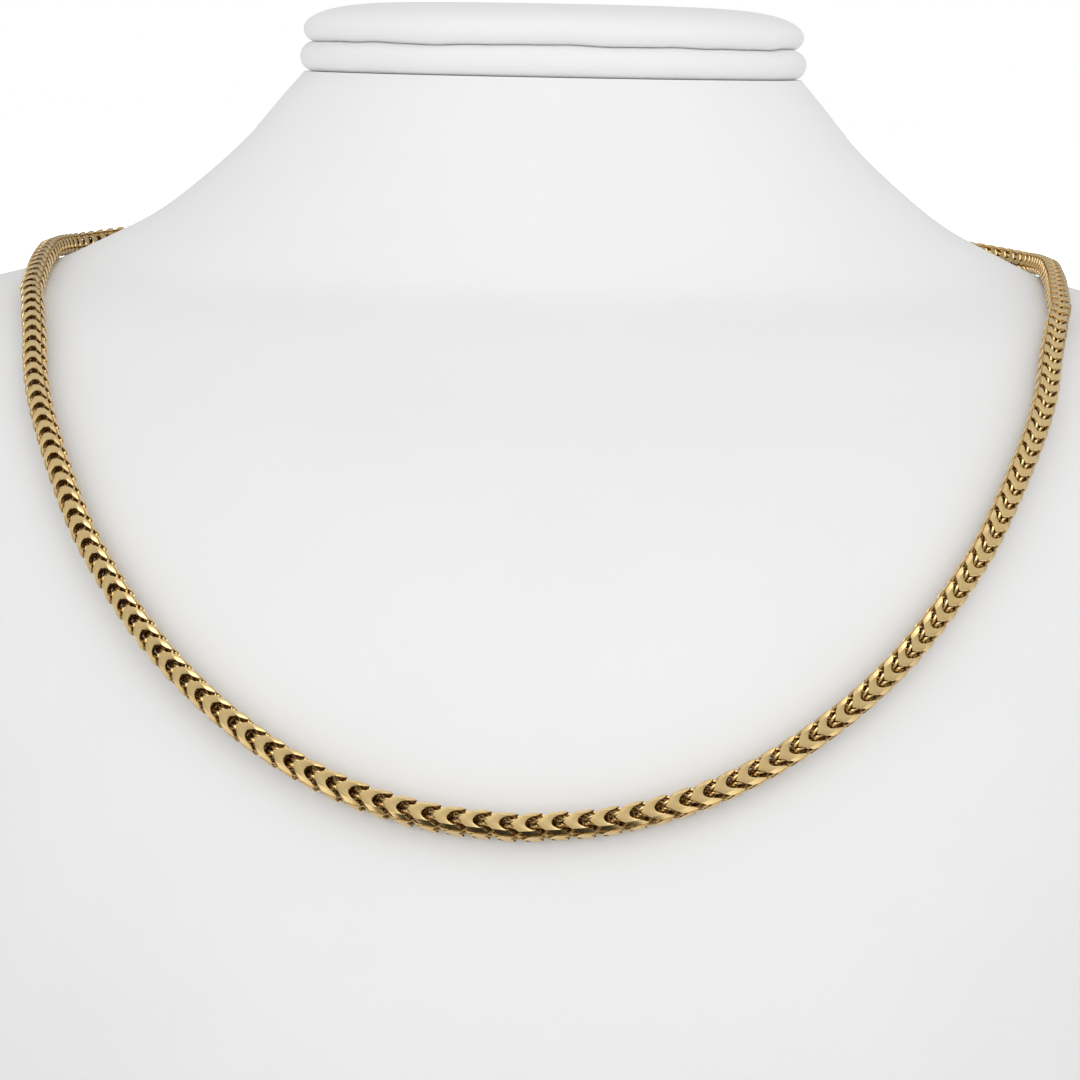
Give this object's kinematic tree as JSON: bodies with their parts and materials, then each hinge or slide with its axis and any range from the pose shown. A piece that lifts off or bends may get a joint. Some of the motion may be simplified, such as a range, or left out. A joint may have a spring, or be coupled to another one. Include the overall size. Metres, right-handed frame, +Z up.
{
  "type": "franco chain necklace on a neck bust",
  "caption": "Square franco chain of interleaved chevron links, closed in a loop and lying over the shoulders of a plain padded neck bust.",
  "frame": {"origin": "centre of the whole object's box, on the plane that the bust stands on", "axes": "+Z up the neck, the chest faces -Y, +X is the picture's right"},
  "size_m": [0.2302, 0.233, 0.1655],
  "materials": {
    "bust_cover": "smooth matte white leatherette",
    "gold": "polished yellow gold"
  },
  "bodies": {
    "root": {"bust_body": "bust_cover", "neck_welt": "bust_cover", "neck_cap": "bust_cover", "chain_left": "gold", "chain_right": "gold", "clasp": "gold"}
  },
  "joints": []
}
